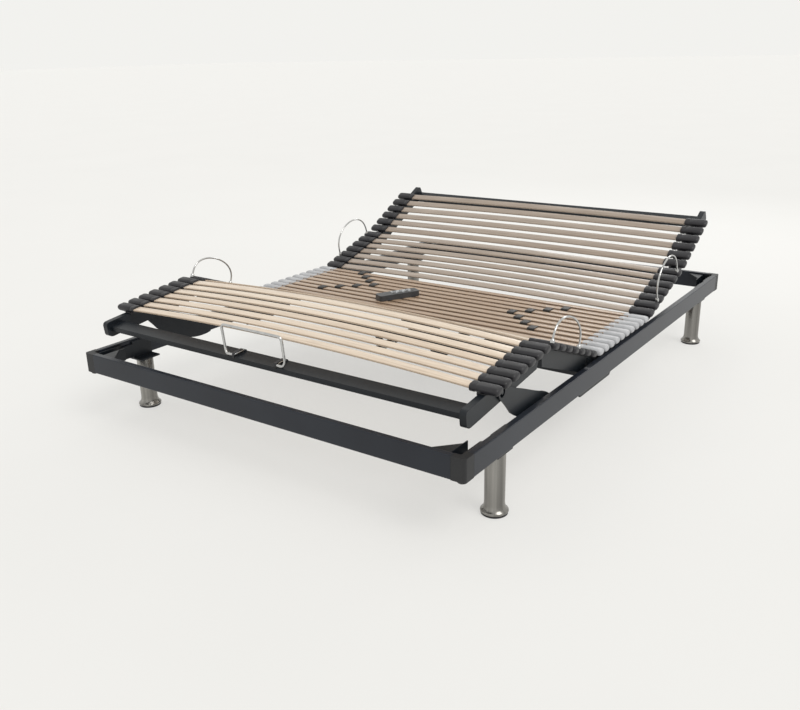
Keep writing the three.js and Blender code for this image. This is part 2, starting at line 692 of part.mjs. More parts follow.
// The gear motor and outer tube of an actuator that pushes along dir.
function motor(x, dir, rear) {
  const along = (a, b) => [rear + dir * a, rear + dir * b].sort((p, q) => p - q);
  const housing = barAlongY(roundedBox(68, 54, 10), along(0, 86), 3).translate(x, 0, PUSH_Z);
  const motorCan = rodAcrossX(24, [x - 96, x - 30], rear + dir * 52, PUSH_Z, 24);
  const tube = rodAlongY(MOTOR_TUBE, x, along(60, MOTOR_LENGTH), PUSH_Z, 24);
  const lug = box([x - 9, x + 9], along(-12.7, 6), [PUSH_Z - 10, PUSH_Z + 34]);
  const bore = rodAlongY(12, x, along(100, 300), PUSH_Z, 20);
  return cut(joined([housing, motorCan, tube, lug]), [bore]);
}

// The moving rod of an actuator, ending in a fork that holds the crank pin.
function pushRod(x, dir, tail, pin) {
  const along = (a, b) => [pin + dir * a, pin + dir * b].sort((p, q) => p - q);
  const gap = CRANK_THICK / 2 + 1;
  const tall = [PUSH_Z - 11, PUSH_Z + 11];
  const shankRange = [tail, pin - dir * 21].sort((p, q) => p - q);
  const shank = rodAlongY(10.5, x, shankRange, PUSH_Z, 20);
  const block = box([x - 14, x + 14], along(-32, -20), tall);
  const prongs = [[-14, -gap], [gap, 14]].map(([a, b]) => box([x + a, x + b], along(-22, 10), tall));
  const pinRod = rodAcrossX(CRANK_PIN, [x - 15, x + 15], pin, PUSH_Z, 16);
  return joined([shank, block, ...prongs, pinRod]);
}

const headPin = pinY(BACK_PIVOT_Y, BACK_CRANK_LEAN);
const footPin = pinY(THIGH_PIVOT_Y, THIGH_CRANK_LEAN);
add(base, 'head_motor', motor(HEAD_MOTOR_X, 1, HEAD_MOTOR_REAR), motorPlastic);
add(base, 'foot_motor', motor(FOOT_MOTOR_X, -1, FOOT_MOTOR_REAR), motorPlastic);
add(base, 'head_push_rod', pushRod(HEAD_MOTOR_X, 1, 0, headPin), satinNickel);
add(base, 'foot_push_rod', pushRod(FOOT_MOTOR_X, -1, -70, footPin), satinNickel);

// ---- control box with its mains inlet ----
function controlBox() {
  const shell = plateUp(roundedBox(190, 96, 10), [128, 172], 3).translate(300, -30, 0);
  const inlet = box([388, 400], [-44, -16], [138, 160]);
  const lug = box([290, 310], [-198, -76], [161, 167.7]);
  return cut(joined([shell, lug]), [inlet]);
}
add(base, 'control_box', controlBox(), motorPlastic);

// ---- wire parts ----
// A side hoop that keeps the mattress from moving sideways; it stands on the caps.
function hoop(side, from, to, height) {
  const low = PIVOT_DROP + CAP_HEIGHT / 2 + 0.5;
  const middle = (from + to) / 2;
  const half = Math.abs(to - from) / 2;
  const points = [new THREE.Vector3(side * HOOP_X, middle - half, low)];
  const count = 9;
  for (let i = 0; i < count; i += 1) {
    const angle = Math.PI * (i / (count - 1));
    const rise = 8 + (height - 8) * Math.sin(angle) ** 0.8;
    points.push(new THREE.Vector3(side * HOOP_X, middle - half * Math.cos(angle), low + rise));
  }
  points.push(new THREE.Vector3(side * HOOP_X, middle + half, low));
  return wire(points, HOOP_ROD, 24);
}

for (const [sideName, side] of Object.entries(sides)) {
  add(back, `back_hoop_${sideName}`, hoop(side, 100, 300, BACK_HOOP_HEIGHT), chromeRod);
  add(thigh, `thigh_hoop_${sideName}`, hoop(side, -326, -138, THIGH_HOOP_HEIGHT), chromeRod);
}

// The mattress stop: a bowed rod that stands on the foot section's crossbar.
function mattressStop() {
  const y = -(FOOT_LENGTH - 13) + 8;
  const low = FOOT_BAR_TOP + GAP + STOP_ROD;
  const high = FOOT_BAR_TOP + STOP_HEIGHT;
  const half = STOP_WIDTH / 2;
  const corner = 12;
  const right = [
    [half - 20, y + 34, low], [half - 20, y + 8, low], [half - 14, y, low], [half - 4, y, low + 2],
    [half, y, low + 10], [half, y, high - corner], [half - corner, y, high],
  ];
  const points = [...right, ...right.map(([x, py, z]) => [-x, py, z]).reverse()];
  const path = points.map(([x, py, z]) => new THREE.Vector3(STOP_X + x, py, z));
  return wire(path, STOP_ROD, 44);
}
add(foot, 'mattress_stop', mattressStop(), chromeRod);

// ---- hand control: it lies on the seat slats ----
const remote = new THREE.Group();
const seatTop = PIVOT_Z + PIVOT_DROP + SEAT_SLAT_SPLIT / 2 + SEAT_SLAT_THICK;
remote.position.set(REMOTE_AT[0], REMOTE_AT[1], seatTop + GAP);
remote.rotation.z = toRad(REMOTE_TURN);
base.add(remote);

const buttonSpots = [-8, 18, 44].flatMap((along) => [[along, 11], [along, -8]]);

function remoteBody() {
  const body = plateUp(roundedBox(REMOTE_LENGTH, REMOTE_WIDTH, 8), [0, REMOTE_HEIGHT], 4);
  const wells = buttonSpots.map(([x, y]) => {
    const well = new THREE.CylinderGeometry(BUTTON_RADIUS + 0.4, BUTTON_RADIUS + 0.4, 20, 20);
    return well.rotateX(Math.PI / 2).translate(x, y, REMOTE_HEIGHT - WELL_DEPTH + 10);
  });
  return cut(body, wells);
}

function button([x, y]) {
  const height = WELL_DEPTH - 2 + BUTTON_PROUD;
  const cap = new THREE.CylinderGeometry(BUTTON_RADIUS - 0.6, BUTTON_RADIUS, height, 20);
  const z = REMOTE_HEIGHT - WELL_DEPTH + 2 + height / 2;
  return cap.rotateX(Math.PI / 2).translate(x, y, z);
}

add(remote, 'remote_body', remoteBody(), remotePlastic);
buttonSpots.forEach((spot, index) => {
  add(remote, `remote_button_${index + 1}`, button(spot), buttonPlastic);
});

export default base;
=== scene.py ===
"""Looks of the adjustable bed base: slats, caps, wire, sliders, legs, hand control, floor and light.

Metres throughout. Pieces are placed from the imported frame: its boxes, joints and ranges.
"""
import json
import math

import bpy
import numpy as np
from mathutils import Matrix, Vector


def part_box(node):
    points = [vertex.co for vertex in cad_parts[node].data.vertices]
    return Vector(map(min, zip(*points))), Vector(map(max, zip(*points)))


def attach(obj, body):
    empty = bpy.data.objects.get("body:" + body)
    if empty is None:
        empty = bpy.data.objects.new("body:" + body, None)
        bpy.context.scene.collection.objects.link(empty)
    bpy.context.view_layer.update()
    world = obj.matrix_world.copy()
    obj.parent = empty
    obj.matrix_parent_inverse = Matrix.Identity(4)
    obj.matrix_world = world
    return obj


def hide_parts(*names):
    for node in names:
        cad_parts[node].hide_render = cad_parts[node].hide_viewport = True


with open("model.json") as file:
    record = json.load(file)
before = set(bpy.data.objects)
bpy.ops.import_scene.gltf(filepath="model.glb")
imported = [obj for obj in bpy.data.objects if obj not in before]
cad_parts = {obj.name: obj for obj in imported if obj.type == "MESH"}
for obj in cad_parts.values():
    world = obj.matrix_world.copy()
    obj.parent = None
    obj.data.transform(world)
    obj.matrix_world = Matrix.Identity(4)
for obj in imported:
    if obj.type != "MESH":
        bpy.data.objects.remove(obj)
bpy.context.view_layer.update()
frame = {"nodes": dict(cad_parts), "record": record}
record = frame["record"]
joints = {j["name"]: j for j in record["behaviour"]["joints"]}
ratio = {c["joint"]: c["ratio"] for c in record["behaviour"]["couplings"]}
rng = np.random.default_rng(4)

# ---- where the sections are at rest ----
BACK_TILT = math.radians(-joints["back_tilt"]["range_deg"][0])
HEAD_TILT = BACK_TILT * (1 + ratio["head_fold"])
THIGH_TILT = math.radians(-joints["thigh_tilt"]["range_deg"][0])
FOOT_TILT = math.radians(6.6)
REMOTE_TURN = math.radians(62)


def section(joint, tilt):
    """Section axes: the pivot line at the origin, Y along the section, Z up from its rails."""
    return Matrix.Translation(joints[joint]["pos_m"]) @ Matrix.Rotation(tilt, 4, "X")


PLACES = {
    "back": section("back_tilt", BACK_TILT),
    "head": section("head_fold", HEAD_TILT),
    "thigh": section("thigh_tilt", -THIGH_TILT),
    "foot": section("foot_fold", FOOT_TILT),
    "base": Matrix.Translation((0, 0, joints["back_tilt"]["pos_m"][2])),
}


def rows(count, first, last, sign):
    return [sign * (first + (last - first) * i / (count - 1)) for i in range(count)]


DECKS = {
    "back": ("back_slats", rows(7, 0.030, 0.306, 1), 0.010),
    "head": ("head_slats", rows(6, 0.028, 0.268, 1), 0.007),
    "thigh": ("thigh_slats", rows(7, 0.030, 0.312, -1), 0.018),
    "foot": ("foot_slats", rows(7, 0.026, 0.284, -1), 0.020),
}
SEAT_ROWS = rows(10, -0.214, 0.164, 1)
CAP_PLANE = 0.008
CAP_INNER = 0.622
CAP_OUTER = 0.702
CAP_HEIGHT = 0.021
CAP_ROUND = 0.0098
CAP_WIDTH = 0.0345
SEAT_CAP_WIDTH = 0.031
SLAT_END = 0.640
SLAT_WIDTH = 0.030
SLAT_THICK = 0.006
SLAT_WAVE = 0.0002
SEAT_SLAT_WIDTH = 0.028
SEAT_SLAT_THICK = 0.0065
SEAT_SLAT_LIFT = 0.00475
RAIL_X = 0.6585
HOOP_X = 0.690
HOOP_RADIUS = 0.0030
STOP_RADIUS = 0.0040


# ---- materials ----
class Nodes:
    """A small helper for building a node material."""

    def __init__(self, name):
        self.material = bpy.data.materials.new(name)
        self.material.use_nodes = True
        self.tree = self.material.node_tree
        self.shader = self.tree.nodes["Principled BSDF"]
        self.coords = self.tree.nodes.new("ShaderNodeTexCoord").outputs["Object"]

    def add(self, kind, inputs=None, **props):
        node = self.tree.nodes.new("ShaderNode" + kind)
        for key, value in props.items():
            setattr(node, key, value)
        for key, value in (inputs or {}).items():
            self.put(node.inputs[key], value)
        return node

    def put(self, socket, value):
        if isinstance(value, bpy.types.NodeSocket):
            self.tree.links.new(value, socket)
        else:
            socket.default_value = value

    def set(self, **values):
        for key, value in values.items():
            self.put(self.shader.inputs[key.replace("_", " ")], value)

    def scaled(self, x, y, z):
        return self.add("Mapping", {"Vector": self.coords, "Scale": (x, y, z)}).outputs["Vector"]

    def noise(self, vector, scale, detail=3.0, roughness=0.5):
        inputs = {"Vector": vector, "Scale": scale, "Detail": detail, "Roughness": roughness}
        return self.add("TexNoise", inputs).outputs["Fac"]

    def ramp(self, value, stops):
        node = self.add("ValToRGB", {"Fac": value})
        ramp = node.color_ramp
        while len(ramp.elements) < len(stops):
            ramp.elements.new(0.5)
        for element, (place, colour) in zip(ramp.elements, stops):
            element.position = place
            element.color = (*colour, 1)
        return node.outputs["Color"]

    def level(self, value, low, high):
        node = self.add("MapRange", {"Value": value, "To Min": low, "To Max": high})
        return node.outputs["Result"]

    def bump(self, height, strength, distance, under=None):
        inputs = {"Height": height, "Strength": strength, "Distance": distance}
        if under is not None:
            inputs["Normal"] = under
        return self.add("Bump", inputs).outputs["Normal"]

    def soft_edges(self, radius):
        node = self.add("Bevel", {"Radius": radius}, samples=4)
        return node.outputs["Normal"]


def powder_coat(name, dark, light, rough):
    m = Nodes(name)
    cloud = m.noise(m.coords, 6.0)
    grain = m.noise(m.coords, 900.0, 2.0)
    m.set(Base_Color=m.ramp(cloud, [(0.3, dark), (0.7, light)]))
    m.set(Roughness=m.level(grain, rough - 0.06, rough + 0.08))
    m.set(Metallic=0.0, Specular_IOR_Level=0.3, Coat_Weight=0.10, Coat_Roughness=0.22)
    m.set(Normal=m.bump(grain, 0.12, 0.0004, m.soft_edges(0.0018)))
    return m.material


def moulded(name, dark, light, rough, scale=700.0, depth=0.0003):
    m = Nodes(name)
    cloud = m.noise(m.coords, 22.0)
    grain = m.noise(m.coords, scale, 3.0)
    m.set(Base_Color=m.ramp(cloud, [(0.3, dark), (0.7, light)]))
    m.set(Roughness=m.level(grain, rough - 0.08, rough + 0.1))
    m.set(Normal=m.bump(grain, 0.25, depth, m.soft_edges(0.0008)))
    return m.material


def metal(name, dark, light, rough, stretch):
    m = Nodes(name)
    streak = m.noise(m.scaled(*stretch), 60.0, 4.0)
    m.set(Base_Color=m.ramp(streak, [(0.3, dark), (0.7, light)]), Metallic=1.0)
    m.set(Roughness=m.level(streak, rough * 0.75, rough * 1.3), Normal=m.bump(streak, 0.05, 0.0002))
    return m.material


def plywood(name, pale, mid, deep, edge_dark, edge_pale):
    """Lacquered veneer on the faces, layered edges, and a tone of its own for each slat."""
    m = Nodes(name)
    tone = m.add("Attribute", attribute_name="tone").outputs["Fac"]
    layer = m.add("Attribute", attribute_name="layer").outputs["Fac"]
    edge = m.add("Attribute", attribute_name="edge").outputs["Fac"]
    grain = m.noise(m.scaled(2.5, 60.0, 60.0), 3.0, 6.0, 0.62)
    pores = m.noise(m.scaled(12.0, 420.0, 420.0), 3.0, 2.0)
    face = m.ramp(grain, [(0.25, deep), (0.5, mid), (0.75, pale)])
    depth = m.level(pores, 0.0, 0.35)
    pored = m.add("Mix", {"Factor": depth, "A": face, "B": (*deep, 1)}, data_type="RGBA")
    wave = m.add("Math", {0: layer, 1: 31.4}, operation="MULTIPLY").outputs["Value"]
    bands = m.level(m.add("Math", {0: wave}, operation="SINE").outputs["Value"], 0.0, 1.0)
    sides = m.ramp(bands, [(0.35, edge_dark), (0.65, edge_pale)])
    joined = m.add("Mix", {"Factor": edge, "A": pored.outputs[2], "B": sides}, data_type="RGBA")
    tint = m.ramp(tone, [(0.0, (0.86, 0.82, 0.78)), (1.0, (1.0, 1.0, 1.0))])
    final = m.add("Mix", {"Factor": 1.0, "A": joined.outputs[2], "B": tint},
                  data_type="RGBA", blend_type="MULTIPLY")
    m.set(Base_Color=final.outputs[2], Roughness=m.level(grain, 0.3, 0.46))
    m.set(Coat_Weight=0.35, Coat_Roughness=0.18)
    m.set(Normal=m.bump(pores, 0.08, 0.0003))
    return m.material


FRAME_PAINT = powder_coat("frame_paint", (0.009, 0.0115, 0.018), (0.013, 0.017, 0.025), 0.34)
SECTION_PAINT = powder_coat("section_paint", (0.004, 0.006, 0.009), (0.007, 0.010, 0.014), 0.40)
CORNER = moulded("corner_plastic", (0.006, 0.0065, 0.008), (0.010, 0.0105, 0.012), 0.5)
NICKEL = metal("satin_nickel", (0.17, 0.165, 0.155), (0.33, 0.32, 0.30), 0.24, (1, 1, 0.02))
CHROME = metal("chrome", (0.46, 0.46, 0.46), (0.58, 0.58, 0.57), 0.14, (1, 1, 1))
BIRCH = plywood("slat_wood", (0.80, 0.70, 0.58), (0.69, 0.585, 0.47), (0.50, 0.40, 0.31),
                (0.40, 0.30, 0.21), (0.78, 0.67, 0.55))
# The back and head slats' birch, made darker: painted shade on the same wood, not a different wood.
PAINTED_SHADE_BIRCH = plywood("slat_wood_back_painted_shade", (0.44, 0.37, 0.31), (0.34, 0.28, 0.23), (0.22, 0.175, 0.14),
                       (0.20, 0.15, 0.11), (0.60, 0.52, 0.44))
TAN = plywood("seat_slat_wood", (0.46, 0.34, 0.24), (0.39, 0.28, 0.19), (0.29, 0.20, 0.135),
              (0.16, 0.10, 0.065), (0.42, 0.30, 0.205))
RUBBER = moulded("cap_rubber", (0.007, 0.0065, 0.009), (0.014, 0.0135, 0.017), 0.42, 420.0, 0.0006)
# Light grey for the seat caps is painted sheen: the grazing shine on the level caps put into their colour.
SEAT_CAP_PAINTED_SHEEN = moulded("seat_cap_plastic", (0.33, 0.335, 0.35), (0.44, 0.445, 0.46), 0.42)
SLIDER = moulded("slider_plastic", (0.018, 0.016, 0.015), (0.028, 0.025, 0.023), 0.42)
MOTOR = moulded("motor_plastic", (0.010, 0.011, 0.012), (0.016, 0.017, 0.019), 0.5)
REMOTE = moulded("remote_plastic", (0.030, 0.031, 0.034), (0.042, 0.043, 0.047), 0.36)
BUTTON = moulded("button_plastic", (0.26, 0.27, 0.29), (0.34, 0.35, 0.37), 0.4)
PALE_STRIP = moulded("remote_strip_pale", (0.40, 0.41, 0.42), (0.48, 0.49, 0.50), 0.4)
DARK_STRIP = moulded("remote_strip_dark", (0.005, 0.005, 0.006), (0.008, 0.008, 0.009), 0.3)
# The back and head decks get the birch copy with painted shade.
WOODS = {"foot": BIRCH, "thigh": BIRCH, "back": PAINTED_SHADE_BIRCH, "head": PAINTED_SHADE_BIRCH}

CAD_FINISH = {
    "frame_paint": FRAME_PAINT, "section_paint": SECTION_PAINT, "corner_plastic": CORNER,
    "satin_nickel": NICKEL, "chrome": CHROME, "slat_wood": BIRCH, "seat_slat_wood": TAN,
    "cap_rubber": RUBBER, "seat_cap_plastic": SEAT_CAP_PAINTED_SHEEN, "slider_plastic": SLIDER,
    "motor_plastic": MOTOR, "remote_plastic": REMOTE, "button_plastic": BUTTON,
}
for part in record["subparts"]:
    node = frame["nodes"][part["node"]]
    node.data.materials.clear()
    node.data.materials.append(CAD_FINISH[part["material_slot"]])


# ---- mesh code ----
def piece(name, verts, faces, material, body, slot, replaces=(), smooth=40, attributes=None):
    mesh = bpy.data.meshes.new(name)
    mesh.from_pydata([tuple(v) for v in verts], [], faces)
    mesh.validate()
    for key, values in (attributes or {}).items():
        layer = mesh.attributes.new(key, "FLOAT", "POINT")
        layer.data.foreach_set("value", np.asarray(values, dtype=np.float32))
    mesh.materials.append(material)
    obj = bpy.data.objects.new(name, mesh)
    bpy.context.scene.collection.objects.link(obj)
    if smooth:
        mesh.shade_smooth()
        mesh.set_sharp_from_angle(angle=math.radians(smooth))
    if body:
        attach(obj, body)
    if replaces:
        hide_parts(*replaces)
    return obj


class Builder:
    """Gathers closed shells, each made of rings of points, into one mesh."""

    def __init__(self):
        self.verts = []
        self.faces = []
        self.extra = {}

    def loft(self, rings, place=Matrix.Identity(4), extra=None, flip=False, loop=False):
        start = len(self.verts)
        count = len(rings[0])
        for ring in rings:
            self.verts += [place @ Vector(p) for p in ring]
        for r in range(len(rings) if loop else len(rings) - 1):
            for i in range(count):
                a = start + r * count + i
                b = start + r * count + (i + 1) % count
                up = ((r + 1) % len(rings) - r) * count
                quad = (a, b, b + up, a + up)
                self.faces.append(quad[::-1] if flip else quad)
        first = tuple(range(start, start + count))
        last = tuple(range(start + (len(rings) - 1) * count, start + len(rings) * count))
        if not loop:
            self.faces.append(first if flip else first[::-1])
            self.faces.append(last[::-1] if flip else last)
        for key, values in (extra or {}).items():
            self.extra.setdefault(key, []).extend(values)

    def make(self, name, material, body, slot, **options):
        return piece(name, self.verts, self.faces, material, body, slot, attributes=self.extra, **options)


def rounded(width, height, radius, steps=4):
    """A rounded rectangle's outline, counter-clockwise, as (across, up) pairs."""
    points = []
    for k, (sx, sy) in enumerate([(1, -1), (1, 1), (-1, 1), (-1, -1)]):
        for i in range(steps + 1):
            t = math.radians(-90 + 90 * k + 90 * i / steps)
            points.append((sx * (width / 2 - radius) + radius * math.cos(t),
                           sy * (height / 2 - radius) + radius * math.sin(t)))
    return points


def swept(path, radius, sides=14):
    """Rings of a round wire along a list of points."""
    path = [Vector(p) for p in path]
    rings = []
    normal = None
    for i, point in enumerate(path):
        ahead = path[min(i + 1, len(path) - 1)] - path[max(i - 1, 0)]
        ahead.normalize()
        if normal is None:
            normal = ahead.orthogonal().normalized()
        normal = (normal - ahead * normal.dot(ahead)).normalized()
        other = ahead.cross(normal)
        ring = []
        for k in range(sides):
            t = 2 * math.pi * k / sides
            ring.append(point + radius * (math.cos(t) * normal + math.sin(t) * other))
        rings.append(ring)
    return rings


def rounded_path(points, radius, steps=7):
    """A polyline with its corners turned into arcs."""
    points = [Vector(p) for p in points]
    path = [points[0]]
    for before, corner, after in zip(points, points[1:], points[2:]):
        back = before - corner
        ahead = after - corner
        cut = min(radius, back.length * 0.49, ahead.length * 0.49)
        a = corner + back.normalized() * cut
        b = corner + ahead.normalized() * cut
        for i in range(steps + 1):
            t = i / steps
            path.append(a * (1 - t) ** 2 + corner * 2 * t * (1 - t) + b * t * t)
    path.append(points[-1])
    return path


# ---- slats ----
def slat_rings(y, z, width, thick, crown, tone):
    """A slat's rings along X, with each point's place in the layers and whether it is on an edge."""
    outline = rounded(width, thick, 0.0022, 2)
    rings = []
    layer, edge, tones = [], [], []
    for i in range(25):
        x = -SLAT_END + 2 * SLAT_END * i / 24
        rise = crown * (1 - (x / SLAT_END) ** 2) + SLAT_WAVE * math.sin(3.1 * x + tone * 9)
        rings.append([(x, y + a, z + rise + b) for a, b in outline])
        layer += [b / thick + 0.5 for _, b in outline]
        edge += [1.0 if abs(a) > width / 2 - 0.0012 else 0.0 for a, _ in outline]
        tones += [tone] * len(outline)
    return rings, {"layer": layer, "edge": edge, "tone": tones}


def slat_set(name, place, ys, layers, crown, material, body, slot, **options):
    for n, y in enumerate(ys):
        builder = Builder()
        for z, width, thick in layers:
            rings, extra = slat_rings(y, z, width, thick, crown, float(rng.random()))
            builder.loft(rings, place, extra)
        builder.make(f"{name}_{n + 1}", material, body, slot, **(options if n == 0 else {}))


# ---- end caps ----
# How far out each ring of a cap is, from its mouth to its nose, and its width and height there.
CAP_STATIONS = [
    (0.0, 0.86, 0.80), (0.015, 0.98, 0.98), (0.10, 1.0, 1.0), (0.17, 1.0, 1.0), (0.20, 0.93, 0.90),
    (0.24, 0.93, 0.90), (0.28, 1.0, 1.0), (0.60, 1.0, 1.02), (0.86, 0.99, 1.0), (0.94, 0.95, 0.93),
    (0.98, 0.86, 0.78), (1.0, 0.70, 0.52),
]


def cap_rings(side, y, width):
    """A soft moulded cap: a lobe with a rounded nose, a waist behind its mouth and a lip round the slat."""
    rings = []
    for t, w, h in CAP_STATIONS:
        x = side * (CAP_INNER + (CAP_OUTER - CAP_INNER) * t)
        outline = rounded(width, CAP_HEIGHT, CAP_ROUND, 5)
        rings.append([(x, y + a * w, CAP_PLANE + b * h) for a, b in outline])
    return rings


def cap_set(name, place, ys, material, body, slot, width):
    builder = Builder()
    for side in (-1, 1):
        for y in ys:
            builder.loft(cap_rings(side, y, width), place, flip=side < 0)
            bridge = [[(x, y + a, CAP_PLANE - 0.0135 + b) for a, b in rounded(0.026, 0.008, 0.002, 2)]
                      for x in (side * 0.642, side * 0.6665)]
            builder.loft(bridge, place, flip=side < 0)
    return builder.make(name, material, body, slot)


def strip_set(name, place, ys, material, body, slot):
    """The carrier strips between the caps and the side rails."""
    builder = Builder()
    low, high = min(ys) - 0.012, max(ys) + 0.012
    for side in (-1, 1):
        outline = rounded(0.030, 0.0040, 0.0012, 2)
        rings = [[(side * RAIL_X + a, y, -0.0010 + b) for a, b in outline] for y in (low, high)]
        builder.loft(rings, place, flip=True)
    return builder.make(name, material, body, slot)


def bowed_deck(body):
    node, ys, crown = DECKS[body]
    place = PLACES[body]
    layer = (CAP_PLANE, SLAT_WIDTH, SLAT_THICK)
    slat_set(f"{body}_slat", place, ys, [layer], crown, WOODS[body], body, "slat_wood", replaces=(node,))
    cap_set(f"{body}_caps", place, ys, RUBBER, body, "cap_rubber", CAP_WIDTH)
    strip_set(f"{body}_cap_strips", place, ys, RUBBER, body, "cap_rubber")


for body in DECKS:
    bowed_deck(body)

seat_place = PLACES["base"]
seat_layers = [(CAP_PLANE + lift, SEAT_SLAT_WIDTH, SEAT_SLAT_THICK)
               for lift in (SEAT_SLAT_LIFT, -SEAT_SLAT_LIFT)]
slat_set("seat_slat", seat_place, SEAT_ROWS, seat_layers, 0.0, TAN, "base", "seat_slat_wood",
         replaces=("seat_slats",))
# The seat caps and their strips take the light grey with painted sheen.
cap_set("seat_caps", seat_place, SEAT_ROWS, SEAT_CAP_PAINTED_SHEEN, "base", "seat_cap_plastic", SEAT_CAP_WIDTH)
strip_set("seat_cap_strips", seat_place, SEAT_ROWS, SEAT_CAP_PAINTED_SHEEN, "base", "seat_cap_plastic")


# ---- bent wire ----
def hoop(body, side, from_y, to_y, height):
    """A side hoop of round wire that stands in two sockets on the caps."""
    low = CAP_PLANE + 0.006
    middle, half = (from_y + to_y) / 2, abs(to_y - from_y) / 2
    x = side * HOOP_X
    path = [(x, middle - half, low)]
    for i in range(33):
        t = math.pi * i / 32
        rise = 0.012 + (height - 0.012) * math.sin(t) ** 0.8
        path.append((x, middle - half * math.cos(t), low + rise))
    path.append((x, middle + half, low))
    builder = Builder()
    builder.loft(swept(path, HOOP_RADIUS), PLACES[body])
    for y in (middle - half, middle + half):
        rings = [[(x + r * math.cos(t), y + r * math.sin(t), z) for t in np.linspace(0, 2 * math.pi, 17)[:-1]]
                 for r, z in ((0.0065, low), (0.0065, low + 0.008), (0.005, low + 0.0105))]
        builder.loft(rings, PLACES[body])
    name = "left" if side < 0 else "right"
    builder.make(f"{body}_hoop_wire_{name}", CHROME, body, "chrome", replaces=(f"{body}_hoop_{name}",))


for side in (-1, 1):
    hoop("back", side, 0.100, 0.300, 0.1045)
    hoop("thigh", side, -0.326, -0.138, 0.0805)


def mattress_stop():
    """A bowed rod on the foot section's crossbar, held by two moulded straps."""
    x0, half, y = -0.025, 0.113, -0.368
    bar = -0.019
    low = bar + 0.0045
    right = [(half - 0.034, y + 0.030, low), (half - 0.034, y - 0.004, low), (half - 0.006, y - 0.004, low),
             (half, y, low + 0.012), (half, y, bar + 0.092)]
    points = right + [(-x, py, z) for x, py, z in reversed(right)]
    path = rounded_path([(x0 + x, py, z) for x, py, z in points], 0.014)
    builder = Builder()
    builder.loft(swept(path, STOP_RADIUS), PLACES["foot"])
    builder.make("mattress_stop_rod", CHROME, "foot", "chrome", replaces=("mattress_stop",))
    straps = Builder()
    for side in (-1, 1):
        x = x0 + side * (half - 0.034)
        route = [(y - 0.010, bar - 0.004), (y - 0.009, bar + 0.0015), (y - 0.004, bar + 0.0095),
                 (y + 0.010, bar + 0.0105), (y + 0.030, bar + 0.0095), (y + 0.043, bar + 0.0015),
                 (y + 0.0435, bar - 0.004)]
        outline = rounded(0.010, 0.0016, 0.0006, 1)
        rings = [[(x + a, py + b * 0.2, z + b) for a, b in outline] for py, z in route]
        straps.loft(rings, PLACES["foot"], flip=True)
    straps.make("mattress_stop_straps", RUBBER, "foot", "cap_rubber")


mattress_stop()


# ---- firmness sliders ----
def slider(node, body):
    """A ribbed sleeve round the doubled slats."""
    low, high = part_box(node)
    middle = [(a + b) / 2 for a, b in zip(low, high)]
    half = (high[0] - low[0]) / 2
    width, height = high[1] - low[1], high[2] - low[2]
    stations = [(-1.0, 0.90), (-0.93, 0.985), (-0.80, 1.0), (-0.70, 1.0), (-0.64, 0.94), (-0.52, 0.94),
                (-0.46, 1.0), (-0.26, 1.0), (-0.20, 0.94), (-0.08, 0.94), (-0.02, 1.0)]
    stations += [(-t, w) for t, w in reversed(stations[:-1])]
    shell = rounded(width, height, 0.004, 4)
    bore = rounded(0.0295, 0.0175, 0.0008, 4)
    outer = [[(middle[0] + half * t, middle[1] + a * w, middle[2] + b * w) for a, b in shell]
             for t, w in stations]
    inner = [[(middle[0] + half * t, middle[1] + a, middle[2] + b) for a, b in bore] for t in (1.0, -1.0)]
    builder = Builder()
    builder.loft(outer + inner, loop=True)
    builder.make(f"{node}_sleeve", SLIDER, body, "slider_plastic", replaces=(node,))


for side in ("left", "right"):
    for n in range(1, 8):
        slider(f"slider_{side}_{n}", f"slider_{side[0]}{n}")


# ---- hand control: two strips round the buttons ----
def plate_with_hole(builder, place, x, y, width, height, hole, thick):
    """One square of a strip: a flat plate with a round hole."""
    angles = [math.radians(7.5 * k) for k in range(48)]
    round_edge = [(x + hole * math.cos(t), y + hole * math.sin(t)) for t in angles]
    square = []
    for t in angles:
        reach = min(width / 2 / max(abs(math.cos(t)), 1e-6), height / 2 / max(abs(math.sin(t)), 1e-6))
        square.append((x + reach * math.cos(t), y + reach * math.sin(t)))
    rings = [[(*p, 0.0) for p in square], [(*p, thick) for p in square],
             [(*p, thick) for p in round_edge], [(*p, 0.0) for p in round_edge]]
    builder.loft(rings, place, loop=True)


def remote_strips():
    """The pale and the dark strip, each with a thin rim round its three buttons."""
    low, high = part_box("remote_body")
    centre = ((low[0] + high[0]) / 2, (low[1] + high[1]) / 2, high[2] + 0.0001)
    place = Matrix.Translation(centre) @ Matrix.Rotation(REMOTE_TURN, 4, "Z")
    strips = (("pale", 0.0110, PALE_STRIP, DARK_STRIP), ("dark", -0.0080, DARK_STRIP, PALE_STRIP))
    for name, y, strip, ring in strips:
        plates = Builder()
        rims = Builder()
        for x in (-0.008, 0.018, 0.044):
            plate_with_hole(plates, place, x, y, 0.026, 0.0155, 0.0055, 0.0004)
            circle = [(x + 0.0064 * math.cos(t), y + 0.0064 * math.sin(t), 0.0004)
                      for t in np.linspace(0, 2 * math.pi, 49)[:-1]]
            rims.loft(ring_tube(circle, 0.00045), place, loop=True)
        plates.make(f"remote_strip_{name}", strip, "remote", "remote_plastic", smooth=20)
        rims.make(f"remote_rims_{name}", ring, "remote", "remote_plastic")


def ring_tube(circle, radius, sides=6):
    """Rings of a thin round wire bent into a level circle."""
    centre = sum((Vector(p) for p in circle), Vector()) / len(circle)
    rings = []
    for point in circle:
        out = (Vector(point) - centre).normalized()
        rings.append([Vector(point) + radius * (math.cos(t) * out + math.sin(t) * Vector((0, 0, 1)))
                      for t in np.linspace(0, 2 * math.pi, sides + 1)[:-1]])
    return rings


remote_strips()


# ---- legs ----
def turned(name, centre, profile, material, body, slot, sides=64, **options):
    builder = Builder()
    rings = [[(centre[0] + r * math.cos(t), centre[1] + r * math.sin(t), z)
              for t in np.linspace(0, 2 * math.pi, sides + 1)[:-1]] for r, z in profile]
    builder.loft(rings)
    return builder.make(name, material, body, slot, **options)


